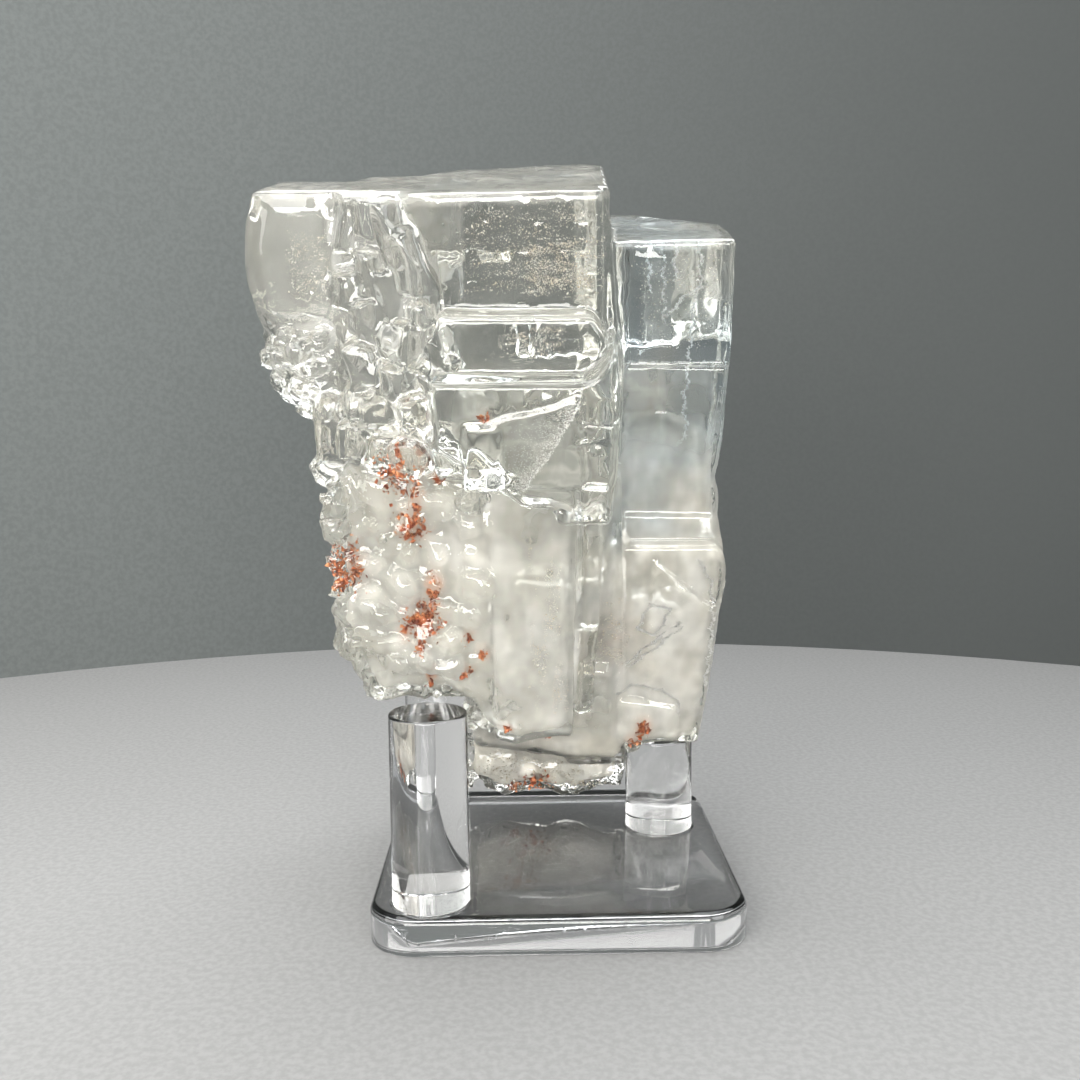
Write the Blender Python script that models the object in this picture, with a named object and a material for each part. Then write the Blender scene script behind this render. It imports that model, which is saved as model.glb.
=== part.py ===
"""Colourless cubic crystal group resting on a clear acrylic stand with three pegs.

The origin is the middle of the stand plate's underside, +Z is up and -Y is the
show side. Lengths are in metres; sizes written in millimetres carry MM.
"""

import math
import random

import bmesh
import bpy
from mathutils import Euler, Vector, noise

MM = 0.001
GAP = 0.3 * MM  # air left between neighbouring pieces

# Stand: quarter-inch plate with half-inch rods.
PLATE_WIDTH = 61.8 * MM
PLATE_DEPTH = 60.2 * MM
PLATE_THICK = 6.25 * MM
PLATE_CORNER = 8.0 * MM
PLATE_TOP_EDGE = 1.4 * MM  # rounded over all round the top
PLATE_FOOT_EDGE = 0.3 * MM
PEG_DIAMETER = 12.6 * MM
PEG_EDGE = 0.5 * MM
PEG_SIDES = 40
PEG_FRONT_LEFT = (-20.8 * MM, -23.5 * MM)
PEG_BACK_LEFT = (-23.2 * MM, 23.2 * MM)
PEG_RIGHT = (20.3 * MM, 8.3 * MM)
PEG_TALL = 31.6 * MM  # the two left pegs, from the plate's top
PEG_SHORT = 17.9 * MM  # the right peg

# Crystal lattice: every flat face of the group follows these three directions.
LATTICE_ORIGIN = Vector((0.0, 0.0, 65.0 * MM))
LATTICE_LEAN = math.radians(17.0)  # the top comes towards the show side
LATTICE_TURN = math.radians(-4.0)
LATTICE = Euler((LATTICE_LEAN, 0.0, LATTICE_TURN), "XYZ").to_matrix()

# Heights in the world below which the group was broken off its bed.
LEFT_FOOT_Z = PLATE_THICK + PEG_TALL + GAP
RIGHT_FOOT_Z = PLATE_THICK + PEG_SHORT + GAP
KEEL_Z = 9.0 * MM

# Lattice positions, in millimetres: u to the right, v away, w up.
TOP_W = 59.7  # main top face
LEDGE_1_W = 43.8
LEDGE_2_W = 35.7
RIGHT_TOP_W = 50.2
RIGHT_LEDGE_W = 0.0
MAIN_FRONT_V = -24.0
LEDGE_DEPTH = 5.2  # how far each lower tier of the main block stands out
RIGHT_FRONT_V = -5.0
BUMP_SEED = 11
LUMP_POINTS = 26
GOLDEN_ANGLE = math.pi * (3.0 - math.sqrt(5.0))


def clearScene():
    for obj in list(bpy.data.objects):
        bpy.data.objects.remove(obj, do_unlink=True)


def material(name, colour, roughness, transmission=0.0, ior=1.5):
    made = bpy.data.materials.new(name)
    made.use_nodes = True
    shader = made.node_tree.nodes["Principled BSDF"]
    shader.inputs["Base Color"].default_value = (*colour, 1.0)
    shader.inputs["Roughness"].default_value = roughness
    shader.inputs["Metallic"].default_value = 0.0
    shader.inputs["Transmission Weight"].default_value = transmission
    shader.inputs["IOR"].default_value = ior
    return made


def addObject(name, mesh, surface=None):
    obj = bpy.data.objects.new(name, mesh)
    bpy.context.scene.collection.objects.link(obj)
    if surface is not None:
        mesh.materials.append(surface)
    return obj


def meshFrom(name, bm):
    bmesh.ops.recalc_face_normals(bm, faces=bm.faces)
    mesh = bpy.data.meshes.new(name)
    bm.to_mesh(mesh)
    bm.free()
    return mesh


# ---------------------------------------------------------------- the stand


def roundedOutline(width, depth, corner, steps):
    """Corner points of a rectangle with rounded corners, anticlockwise."""
    points = []
    for quarter, (right, back) in enumerate(((1, 1), (-1, 1), (-1, -1), (1, -1))):
        centre = Vector((right * (width / 2 - corner), back * (depth / 2 - corner)))
        for step in range(steps + 1):
            angle = (quarter + step / steps) * math.pi / 2
            points.append(centre + corner * Vector((math.cos(angle), math.sin(angle))))
    return points


def buildPlate(surface):
    bm = bmesh.new()
    outline = roundedOutline(PLATE_WIDTH, PLATE_DEPTH, PLATE_CORNER, 8)
    face = bm.faces.new([bm.verts.new((p.x, p.y, 0.0)) for p in outline])
    grown = bmesh.ops.extrude_face_region(bm, geom=[face])
    lifted = [item for item in grown["geom"] if isinstance(item, bmesh.types.BMVert)]
    bmesh.ops.translate(bm, verts=lifted, vec=(0.0, 0.0, PLATE_THICK))
    top = [e for e in bm.edges if all(v.co.z > PLATE_THICK / 2 for v in e.verts)]
    foot = [e for e in bm.edges if all(v.co.z < PLATE_THICK / 2 for v in e.verts)]
    bmesh.ops.bevel(bm, geom=top, offset=PLATE_TOP_EDGE, segments=3, profile=0.5, affect="EDGES")
    bmesh.ops.bevel(bm, geom=foot, offset=PLATE_FOOT_EDGE, segments=1, profile=0.5, affect="EDGES")
    mesh = meshFrom("stand_plate", bm)
    mesh.shade_smooth()
    mesh.set_sharp_from_angle(angle=math.radians(35))
    return addObject("stand_plate", mesh, surface)


def buildPeg(name, place, height, surface):
    bm = bmesh.new()
    bmesh.ops.create_cone(
        bm,
        cap_ends=True,
        segments=PEG_SIDES,
        radius1=PEG_DIAMETER / 2,
        radius2=PEG_DIAMETER / 2,
        depth=height - GAP,
    )
    top = [e for e in bm.edges if all(v.co.z > 0 for v in e.verts)]
    bmesh.ops.bevel(bm, geom=top, offset=PEG_EDGE, segments=2, profile=0.5, affect="EDGES")
    mesh = meshFrom(name, bm)
    mesh.shade_smooth()
    mesh.set_sharp_from_angle(angle=math.radians(35))
    peg = addObject(name, mesh, surface)
    peg.location = (*place, PLATE_THICK + GAP + (height - GAP) / 2)
    return peg


# -------------------------------------------------------------- the crystal


def latticePoint(u, v, w):
    return LATTICE_ORIGIN + LATTICE @ Vector((u, v, w)) * MM


def trimBelow(bm, height):
    """Breaks the shape off flat at a height in the world."""
    cut = bmesh.ops.bisect_plane(
        bm,
        geom=bm.verts[:] + bm.edges[:] + bm.faces[:],
        dist=1e-7,
        plane_co=(0.0, 0.0, height),
        plane_no=(0.0, 0.0, 1.0),
        clear_inner=True,
    )
    rim = [item for item in cut["geom_cut"] if isinstance(item, bmesh.types.BMEdge)]
    if rim:
        bmesh.ops.contextual_create(bm, geom=rim)


def growth(name, rings, bevel, above):
    """Closes a stack of rings, each a list of lattice points, into one bevelled body."""
    bm = bmesh.new()
    layers = [[bm.verts.new(latticePoint(*point)) for point in ring] for ring in rings]
    bm.faces.new(layers[0])
    bm.faces.new(layers[-1])
    count = len(layers[0])
    for low, high in zip(layers, layers[1:]):
        for side in range(count):
            after = (side + 1) % count
            bm.faces.new((low[side], low[after], high[after], high[side]))
    bmesh.ops.recalc_face_normals(bm, faces=bm.faces)
    if bevel:
        bmesh.ops.bevel(
            bm,
            geom=bm.edges[:],
            offset=bevel * MM,
            segments=1,
            profile=0.5,
            affect="EDGES",
            clamp_overlap=True,
        )
    if above is not None:
        trimBelow(bm, above)
    return addObject(name, meshFrom(name, bm))


def slab(name, outline, front, back, bevel=0.6, lean=0.0, above=None):
    """A slab seen from the front: outline holds (u, w), front and back are v.

    lean moves the front face's lower points out by that much per millimetre.
    """
    highest = max(w for _, w in outline)
    near = [(u, front - lean * (highest - w), w) for u, w in outline]
    far = [(u, back, w) for u, w in outline]
    return growth(name, (near, far), bevel, above)


def column(name, plan, low, high, bevel=0.6, spread=0.0, above=None):
    """An upright prism: plan holds (u, v); spread widens its foot, in millimetres."""
    middle = Vector((sum(p[0] for p in plan), sum(p[1] for p in plan))) / len(plan)
    foot = []
    for u, v in plan:
        out = (Vector((u, v)) - middle).normalized() * spread
        foot.append((u + out.x, v + out.y, low))
    head = [(u, v, high) for u, v in plan]
    return growth(name, (foot, head), bevel, above)


def chip(name, centre, size, turn, bevel=0.5):
    """A small tilted block: turn is degrees about u, v and w."""
    half = Vector(size) / 2
    spin = Euler([math.radians(angle) for angle in turn], "XYZ").to_matrix()
    corners = ((-1, -1), (1, -1), (1, 1), (-1, 1))
    rings = []
    for w in (-1, 1):
        ring = []
        for u, v in corners:
            offset = spin @ Vector((u * half.x, v * half.y, w * half.z))
            ring.append(tuple(Vector(centre) + offset))
        rings.append(ring)
    return growth(name, rings, bevel, None)


def lump(name, centre, size, seed, rough=0.25):
    """A rounded, uneven knob: the hull of points spread evenly round a ball."""
    bm = bmesh.new()
    shift = Vector((seed * 7.31, seed * 3.77, seed * 5.19))
    for step in range(LUMP_POINTS):
        rise = 1.0 - 2.0 * (step + 0.5) / LUMP_POINTS
        reach = math.sqrt(1.0 - rise * rise)
        angle = step * GOLDEN_ANGLE + seed
        way = Vector((reach * math.cos(angle), reach * math.sin(angle), rise))
        swell = 1.0 + rough * noise.noise(way * 1.3 + shift)
        point = [c + part * s / 2 * swell for c, part, s in zip(centre, way, size)]
        bm.verts.new(latticePoint(*point))
    bmesh.ops.convex_hull(bm, input=bm.verts[:])
    return addObject(name, meshFrom(name, bm))


def mainBlock():
    """The tall clear block: three tiers, each standing out in front of the one above."""
    tier2 = MAIN_FRONT_V - LEDGE_DEPTH
    tier3 = tier2 - LEDGE_DEPTH
    top = ((-18.4, -24), (8.9, -24), (8.9, -18.6), (9.9, -18.4), (9.3, 21.8),
           (5.2, 26.2), (-8.9, 21.6), (-18.6, 14.6), (-25.6, 0.3), (-25.6, -10))
    yield column("main_top", top, 30.0, TOP_W, bevel=0.5)
    yield column("main_core", ((-24, -16), (8.4, -17), (8, 19), (-9, 19), (-24, 6)), -12, 40)
    flank = ((9.0, 58.0), (10.1, 55.0), (10.5, 48.3), (10.8, 44.1), (11.2, 38.2),
             (11.6, 36.7), (12.0, 29.1), (11.6, 20.3), (11.0, 17.1), (10.5, 9.5),
             (9.7, 8.3), (4.6, 8.3), (3.0, 58.0))
    yield slab("main_flank", flank, -20.0, 14.0, bevel=0.4)
    second = ((-14.4, LEDGE_1_W), (7.4, LEDGE_1_W - 0.3), (9.2, 41.0), (9.6, 30.0), (-16.4, 30.0))
    yield slab("main_tier_2", second, tier2, 0.0, bevel=0.7)
    third = ((-15.6, LEDGE_2_W), (5.9, LEDGE_2_W - 0.2), (8.0, 36.4), (10.6, 40.2),
             (11.3, 33.0), (11.0, 22.6), (10.2, 18.6), (9.8, 14.8), (5.0, 14.2),
             (2.8, 14.2), (1.6, 16.8), (-2.4, 16.8), (-5.6, 19.4), (-15.2, 26.0))
    yield slab("main_tier_3", third, tier3, -4.0, bevel=0.7)
    tab = ((-10.6, 29.8), (-5.3, 29.6), (-5.6, 19.8), (-11.0, 19.7))
    yield slab("main_tab", tab, tier3 - 0.7, -20.0, bevel=0.5)
    curve = ((-8.0, 29.6), (-4.6, 31.0), (-1.0, 31.6), (2.6, 32.6), (5.9, 34.0), (6.2, 20.0), (-6.8, 20.6))
    yield slab("main_step", curve, tier3 - 0.5, -20.0, bevel=0.4)
    heel = ((5.2, 20.8), (10.1, 20.6), (9.9, 14.8), (5.3, 14.6))
    yield slab("main_heel", heel, tier3 - 0.8, -20.0, bevel=0.5)


def leftBlock():
    """The smooth bulging block on the left, with its crumbled underside."""
    front = ((-40.0, 60.3), (-42.4, 57.2), (-43.5, 52.0), (-43.7, 48.0), (-42.9, 44.0),
             (-42.0, 39.5), (-41.6, 34.2), (-40.2, 32.0), (-37.8, 29.0), (-35.8, 27.0),
             (-27.4, 27.2), (-26.0, 60.0))
    yield slab("left_block", front, -20.6, -7.4, bevel=1.6)
    face = ((-38.8, 59.6), (-41.2, 54.0), (-41.6, 48.0), (-40.4, 42.6), (-30.2, 41.6),
            (-29.6, 59.4))
    yield slab("left_face", face, -22.6, -12.0, bevel=1.4)
    shelf = ((-40.6, 60.35), (-22.0, 60.0), (-22.0, 56.6), (-41.8, 56.8))
    yield slab("left_shelf", shelf, -21.8, -5.2, bevel=0.4)
    crumbs = (
        (-40.3, -21.4, 36.4, 4.2), (-38.6, -22.2, 33.2, 4.4), (-36.4, -22.0, 37.2, 5.0),
        (-35.8, -22.4, 31.6, 4.8), (-33.6, -22.6, 35.0, 4.4), (-38.6, -20.6, 30.6, 3.4),
        (-33.0, -22.4, 39.0, 4.0), (-36.6, -20.8, 28.4, 3.4), (-37.6, -22.4, 40.2, 3.6),
    )
    for number, (u, v, w, size) in enumerate(crumbs):
        yield lump(f"left_crumb_{number}", (u, v, w), (size, size * 0.9, size * 0.9), number + 2, 0.5)
    lobe = ((-34.2, 31.0), (-30.6, 31.0), (-30.4, 16.6), (-33.6, 16.4), (-35.7, 17.4),
            (-35.9, 19.4), (-34.8, 22.0), (-34.9, 28.0))
    yield slab("left_lobe", lobe, -24.2, -12.0, bevel=1.1)


def etchedColumn():
    """The deeply dissolved column between the left block and the main block."""
    core = ((-30.0, 59.9), (-17.0, 59.8), (-16.4, 16.0), (-30.6, 16.0))
    yield slab("column_core", core, -20.4, 6.0, bevel=0.5, lean=0.05)
    ribs = (
        # centre u, v, w, then size, then turn about w
        (-27.6, -22.2, 55.4, 2.6, 4.0, 8.4, 12),
        (-24.4, -22.0, 56.6, 3.2, 4.2, 6.2, -14),
        (-21.0, -22.6, 54.6, 3.6, 4.6, 9.4, 10),
        (-28.2, -22.6, 46.2, 3.4, 4.2, 5.2, 42),
        (-25.0, -23.0, 50.2, 3.4, 3.6, 4.4, -20),
        (-21.6, -23.2, 46.0, 4.2, 4.6, 7.0, 24),
        (-18.4, -23.8, 50.4, 3.0, 4.8, 9.0, -18),
        (-25.2, -23.4, 42.4, 4.4, 4.0, 5.8, 16),
        (-20.2, -24.4, 39.6, 5.2, 4.8, 5.2, -30),
        (-26.4, -23.8, 36.2, 5.2, 4.6, 6.4, -10),
        (-21.2, -25.2, 33.6, 5.0, 5.2, 6.0, 28),
        (-27.8, -23.8, 30.2, 4.0, 4.4, 5.0, 20),
        (-23.8, -25.0, 28.4, 5.6, 4.8, 5.4, -24),
        (-18.6, -26.8, 29.0, 4.6, 5.4, 6.4, 14),
        (-28.6, -24.6, 24.4, 4.4, 4.8, 5.6, -16),
        (-24.2, -25.6, 22.4, 5.0, 4.6, 5.4, 34),
        (-19.4, -27.6, 22.6, 5.2, 5.4, 6.0, -22),
        (-13.6, -30.4, 24.6, 4.6, 6.4, 6.4, 12),
    )
    for number, (u, v, w, wide, deep, tall, turn) in enumerate(ribs):
        tilt = 9.0 * math.sin(number * 2.1)
        roll = 11.0 * math.cos(number * 1.7)
        yield chip(f"column_rib_{number}", (u, v, w), (wide, deep, tall), (tilt, roll, turn), 0.7)
    knobs = (
        (-24.6, -22.6, 46.8, 3.0), (-17.0, -25.4, 43.4, 3.8), (-15.2, -27.2, 39.0, 3.4),
        (-12.6, -29.0, 37.2, 2.2), (-16.4, -27.4, 36.0, 3.2), (-22.8, -23.6, 37.4, 3.0),
    )
    for number, (u, v, w, size) in enumerate(knobs):
        yield lump(f"column_knob_{number}", (u, v, w), (size, size, size * 1.2), number + 31)


def lowerLeft():
    """The knobbly lower left, broken off level where it stands on the left pegs."""
    body = ((-33.2, 17.0), (-10.0, 20.0), (-8.4, 4.0), (-9.4, -10.0), (-10.0, -27.6),
            (-14.0, -27.0), (-24.0, -26.0), (-30.0, -22.0), (-33.0, -14.0), (-34.4, -8.0),
            (-34.6, -3.6), (-33.0, 0.4), (-33.2, 6.0))
    yield slab("lower_left", body, -24.8, 12.0, bevel=0.9, above=LEFT_FOOT_Z)
    rear = ((-31.0, 18.0), (-8.0, 18.0), (-8.0, -24.0), (-17.0, -40.0), (-29.0, -40.0), (-31.0, -20.0))
    yield slab("lower_left_rear", rear, -8.0, 19.0, bevel=1.0, above=LEFT_FOOT_Z)
    skirt = ((-14.6, -4.0), (-7.0, -4.0), (-7.2, -28.2), (-10.0, -28.6), (-14.2, -27.6))
    yield slab("lower_left_skirt", skirt, -23.4, -2.0, bevel=0.7)
    drip = ((-30.6, -14.0), (-26.6, -14.0), (-27.2, -21.6), (-28.0, -22.6), (-29.6, -18.0))
    yield slab("lower_left_drip", drip, -22.4, -12.0, bevel=0.4)
    rng = random.Random(BUMP_SEED)
    rows = 7
    steps = 5
    for row in range(rows):
        w = 14.6 - row * 4.7
        left = -32.2 + 0.9 * max(0.0, -10.0 - w)
        right = -12.0 if row < 5 else -16.0
        for step in range(steps):
            u = left + (right - left) * step / (steps - 1) + rng.uniform(-1.0, 1.0)
            v = -24.2 - rng.uniform(0.0, 1.4)
            size = rng.uniform(3.4, 6.2)
            turn = [rng.uniform(-30, 30) for _ in range(3)]
            shape = (size * rng.uniform(0.7, 1.2), size * 0.8, size * rng.uniform(0.7, 1.1))
            place = (u, v, w + rng.uniform(-1.0, 1.0))
            name = f"lower_left_bump_{row}_{step}"
            if (row + step) % 2:
                yield chip(name, place, shape, turn, 0.8)
            else:
                yield lump(name, place, shape, row * steps + step + 50, 0.5)


def lowerMiddle():
    """The smooth milky prism under the main block, and the hollow beside it."""
    prism = ((-8.2, 17.0), (4.7, 17.0), (4.9, 13.6), (4.4, -8.0), (3.8, -27.8),
             (1.6, -27.6), (-1.8, -28.2), (-5.8, -29.4), (-9.6, -28.2), (-8.6, 0.0))
    yield slab("milky_prism", prism, -25.6, 10.0, bevel=0.6)
    hollow = ((3.0, 14.0), (12.0, 14.0), (12.4, -8.0), (13.4, -46.0), (2.0, -46.0))
    yield slab("hollow_back", hollow, -14.6, 14.0, bevel=0.6, lean=-0.12)
    yield chip("hollow_edge", (6.4, -14.6, -12.0), (3.2, 3.0, 34.0), (0, 4, 20), 0.6)


def rightBlock():
    """The cool clear block on the right, set back, with a shoulder half way down."""
    plan = ((9.8, -6.4), (13.8, -4.9), (29.8, -4.4), (29.9, 4.8), (29.4, 15.6),
            (26.0, 18.8), (16.0, 30.2), (9.6, 32.6))
    yield column("right_top", plan, 29.6, RIGHT_TOP_W, bevel=0.45)
    middle = ((9.6, 31.0), (29.5, 30.6), (29.2, 20.6), (28.4, 13.0), (28.0, 10.8),
              (28.8, 8.4), (28.6, 1.0), (29.4, -4.0), (9.6, -4.0))
    yield slab("right_middle", middle, RIGHT_FRONT_V - 0.4, 22.0, bevel=0.5)
    shoulder = ((10.6, 5.6), (28.6, 5.2), (29.2, 1.2), (30.0, -1.2), (30.0, -5.0), (10.6, -5.0))
    yield slab("right_shoulder", shoulder, -6.2, 14.0, bevel=1.2)
    lower = ((11.4, RIGHT_LEDGE_W), (27.6, RIGHT_LEDGE_W), (29.4, -0.8), (30.3, -4.0),
             (30.3, -7.8), (29.7, -11.5), (29.2, -16.5), (28.7, -22.5), (28.2, -28.8),
             (27.5, -34.1), (26.9, -37.7), (26.2, -44.0), (15.0, -46.0), (10.4, -46.0), (9.6, -31.0))
    yield slab("right_lower", lower, -8.4, 12.0, bevel=0.8, above=RIGHT_FOOT_Z)
    facet = ((18.0, -2.0), (26.2, -10.2), (29.0, -11.2), (27.6, -32.0), (16.8, -33.6), (17.2, -10.0))
    yield slab("right_facet", facet, -9.2, 0.0, bevel=0.4)
    plate = ((11.8, -29.8), (22.6, -31.4), (23.0, -38.6), (15.4, -39.4), (11.6, -38.0))
    yield slab("right_plate", plate, -9.9, 0.0, bevel=0.4)
    drip = ((13.2, -38.0), (16.4, -37.6), (15.8, -40.6), (13.4, -41.6))
    yield slab("right_drip", drip, -10.0, -4.6, bevel=0.3)


def backSteps():
    """The tiers on the far side, which step in towards the foot."""
    core = ((-16.0, 16.0), (12.0, 16.0), (12.6, -20.0), (12.6, -44.0), (-12.0, -44.0), (-14.0, -20.0))
    yield slab("back_core", core, -5.0, 15.0, bevel=0.8)
    upper = ((-16.0, 46.5), (5.6, 46.0), (6.4, 40.0), (5.2, 23.0), (-15.0, 24.0), (-17.4, 32.0))
    yield slab("back_upper", upper, 4.0, 23.4, bevel=0.7)
    lower = ((-11.0, 21.0), (7.8, 20.4), (8.6, 8.0), (7.4, -9.0), (-9.0, -10.4), (-12.4, 2.0))
    yield slab("back_lower", lower, 4.0, 20.6, bevel=0.7)
    right = ((12.4, 16.0), (26.4, 15.0), (27.0, -3.0), (24.0, -19.0), (13.6, -18.0))
    yield slab("back_right", right, 4.0, 23.8, bevel=0.7)
    chips = (
        # centre u, v, w, then size
        (-19.6, 8.4, 33.0, 6.0), (-14.6, 19.2, 16.0, 5.2), (-2.6, 22.2, 34.0, 6.4),
        (3.4, 18.6, 2.0, 5.6), (-20.4, 18.2, -6.0, 6.6), (20.6, 13.4, -24.0, 6.2),
        (-6.0, 13.8, -24.0, 7.0), (8.6, 14.2, -33.0, 5.8),
    )
    for number, (u, v, w, size) in enumerate(chips):
        turn = (12.0 * math.sin(number), 14.0 * math.cos(number * 2.0), 20.0 * math.sin(number * 3.0))
        yield chip(f"back_chip_{number}", (u, v, w), (size, size * 0.7, size * 1.1), turn, 0.6)


def keel():
    """The lowest blade, which hangs between the pegs just clear of the plate."""
    outline = ((-17.6, -24.0), (12.6, -24.0), (13.2, -46.0), (12.8, -56.4), (11.4, -55.8),
               (8.4, -56.4), (4.4, -58.2), (1.0, -58.6), (-3.4, -57.0), (-11.0, -58.4),
               (-14.2, -57.0), (-15.8, -54.0), (-17.2, -57.4), (-18.2, -56.8), (-17.8, -46.0))
    yield slab("keel", outline, 0.0, 11.0, bevel=0.5, above=KEEL_Z)
    brow = ((-15.0, -22.0), (11.0, -22.0), (11.0, -46.0), (-4.0, -44.0), (-15.4, -42.0))
    yield slab("keel_brow", brow, -12.0, 14.0, bevel=1.2, lean=-0.2)
    for number in range(7):
        u = -14.0 + number * 4.2
        w = -51.0 + 2.0 * math.sin(number * 1.9)
        size = 4.6 + 1.2 * math.cos(number * 2.3)
        yield lump(f"keel_bump_{number}", (u, 0.6, w), (size, 3.6, size), number + 120, 0.5)


def clearancePeg(name, place, height):
    """A slightly larger peg, which keeps the crystal's foot clear of the real one."""
    bm = bmesh.new()
    size = PEG_DIAMETER / 2 + 0.6 * MM
    depth = height + GAP
    bmesh.ops.create_cone(bm, cap_ends=True, segments=32, radius1=size, radius2=size, depth=depth)
    cutter = addObject(name, meshFrom(name, bm))
    cutter.location = (*place, PLATE_THICK + depth / 2)
    return cutter


def helperCollection(name, objects):
    group = bpy.data.collections.new(name)
    bpy.context.scene.collection.children.link(group)
    for obj in objects:
        group.objects.link(obj)
        bpy.context.scene.collection.objects.unlink(obj)
        obj.hide_render = True
        obj.display_type = "WIRE"
    return group


def addBoolean(obj, name, operation, group):
    cut = obj.modifiers.new(name, "BOOLEAN")
    cut.operation = operation
    cut.solver = "EXACT"
    cut.operand_type = "COLLECTION"
    cut.collection = group


def buildCrystal(surface):
    zones = (
        mainBlock, leftBlock, etchedColumn, lowerLeft, lowerMiddle, rightBlock, backSteps, keel,
    )
    growths = [body for zone in zones for body in zone()]
    crystal = growths[0]
    crystal.name = "crystal"
    crystal.data.materials.append(surface)
    addBoolean(crystal, "grown together", "UNION", helperCollection("growths", growths[1:]))
    pegs = [
        clearancePeg("clear_front_left", PEG_FRONT_LEFT, PEG_TALL),
        clearancePeg("clear_back_left", PEG_BACK_LEFT, PEG_TALL),
        clearancePeg("clear_right", PEG_RIGHT, PEG_SHORT),
    ]
    addBoolean(crystal, "room for the pegs", "DIFFERENCE", helperCollection("peg_room", pegs))
    flat = crystal.modifiers.new("flat faces", "DECIMATE")
    flat.decimate_type = "DISSOLVE"
    flat.angle_limit = math.radians(2.5)
    crystal.modifiers.new("triangles", "TRIANGULATE")
    return crystal


def main():
    clearScene()
    acrylic = material("clear_acrylic", (0.97, 0.98, 0.99), 0.03, 1.0, 1.49)
    stone = material("clear_crystal", (0.93, 0.93, 0.91), 0.12, 0.9, 1.54)
    buildPlate(acrylic)
    buildPeg("peg_front_left", PEG_FRONT_LEFT, PEG_TALL, acrylic)
    buildPeg("peg_back_left", PEG_BACK_LEFT, PEG_TALL, acrylic)
    buildPeg("peg_right", PEG_RIGHT, PEG_SHORT, acrylic)
    buildCrystal(stone)


main()
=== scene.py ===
import math

import bmesh
import bpy
import numpy as np
from mathutils import Euler, Matrix, Vector
from mathutils.bvhtree import BVHTree


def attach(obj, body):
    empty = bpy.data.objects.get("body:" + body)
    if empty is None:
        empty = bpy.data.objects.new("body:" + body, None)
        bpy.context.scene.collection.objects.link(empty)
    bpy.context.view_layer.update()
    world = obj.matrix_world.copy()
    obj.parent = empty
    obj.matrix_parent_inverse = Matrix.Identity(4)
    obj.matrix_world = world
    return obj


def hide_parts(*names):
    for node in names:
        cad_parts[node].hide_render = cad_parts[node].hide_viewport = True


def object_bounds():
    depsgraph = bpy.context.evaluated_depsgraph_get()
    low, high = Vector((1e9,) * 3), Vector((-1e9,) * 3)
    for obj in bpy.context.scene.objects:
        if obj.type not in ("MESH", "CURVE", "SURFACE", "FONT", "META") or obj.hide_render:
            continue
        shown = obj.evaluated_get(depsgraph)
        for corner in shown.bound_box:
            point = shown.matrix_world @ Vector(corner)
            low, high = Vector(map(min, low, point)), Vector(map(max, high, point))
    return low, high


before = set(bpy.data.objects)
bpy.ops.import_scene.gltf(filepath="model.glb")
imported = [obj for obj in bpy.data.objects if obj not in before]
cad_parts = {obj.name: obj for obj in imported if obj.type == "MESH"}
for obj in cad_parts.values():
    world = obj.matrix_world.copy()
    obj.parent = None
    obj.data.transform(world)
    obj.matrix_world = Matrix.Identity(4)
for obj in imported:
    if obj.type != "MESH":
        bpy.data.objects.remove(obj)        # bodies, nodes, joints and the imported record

mm = 0.001                  # sizes below are millimetres unless a note says otherwise
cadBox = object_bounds()

# the crystal's own directions: u right, v away, w up
latticeOrigin = np.array([0.0, 0.0, 65.0])
latticeLean = math.radians(17)
latticeTurn = np.array(Euler((latticeLean, 0, math.radians(-4)), "XYZ").to_matrix())


def toLattice(points):
    return (np.asarray(points) / mm - latticeOrigin) @ latticeTurn


def toWorld(points):
    return (np.asarray(points) @ latticeTurn.T + latticeOrigin) * mm


# ---- camera
# place in millimetres, turns in degrees, lens in millimetres on a 36 mm sensor
camera = {
    "place": (-5.549, -191.644, 83.645),
    "down": 6.228,
    "right": 1.002,
    "roll": -0.48,
    "lens": 35.84,
}


def addCamera():
    data = bpy.data.cameras.new("studioCamera")
    data.lens = camera["lens"]
    data.sensor_width = 36
    data.sensor_fit = "HORIZONTAL"
    data.clip_start = 0.01
    data.clip_end = 10
    obj = bpy.data.objects.new("studioCamera", data)
    bpy.context.scene.collection.objects.link(obj)
    turn = (Matrix.Rotation(math.radians(-camera["right"]), 3, "Z")
            @ Matrix.Rotation(math.radians(90 - camera["down"]), 3, "X")
            @ Matrix.Rotation(math.radians(camera["roll"]), 3, "Z"))
    obj.matrix_world = Matrix.Translation(Vector(camera["place"]) * mm) @ turn.to_4x4()
    bpy.context.scene.camera = obj


addCamera()
print("camera set")


# ---- number tools for the mesh work
def ripple(points, seed):
    # smooth gradient noise, about -0.7 to 0.7
    base = np.floor(points).astype(np.int64)
    part = points - base
    fade = part * part * part * (part * (part * 6 - 15) + 10)
    total = np.zeros(len(points))
    for corner in range(8):
        step = np.array([corner & 1, corner >> 1 & 1, corner >> 2 & 1])
        slope = scatter(base + step, seed) * 2 - 1
        share = np.prod(np.where(step, fade, 1 - fade), axis=1)
        total += share * np.einsum("ij,ij->i", slope, part - step)
    return total


def scatter(cells, seed):
    # three repeatable numbers from 0 to 1 for every whole-number cell
    key = (cells[:, 0] * 73856093) ^ (cells[:, 1] * 19349663) ^ (cells[:, 2] * 83492791)
    key = (key + seed * 7919 + 12345) & 0x7FFFFFFF
    out = []
    for _ in range(3):
        key = (key * 1103515245 + 12345) & 0x7FFFFFFF
        key = key ^ (key >> 11)
        out.append((key & 0xFFFFF) / 0xFFFFF)
    return np.stack(out, axis=1)


def layered(points, seed, octaves=3):
    total = np.zeros(len(points))
    for level in range(octaves):
        total += ripple(points * 2 ** level + level * 17.3, seed + level) / 2 ** level
    return total


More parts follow.
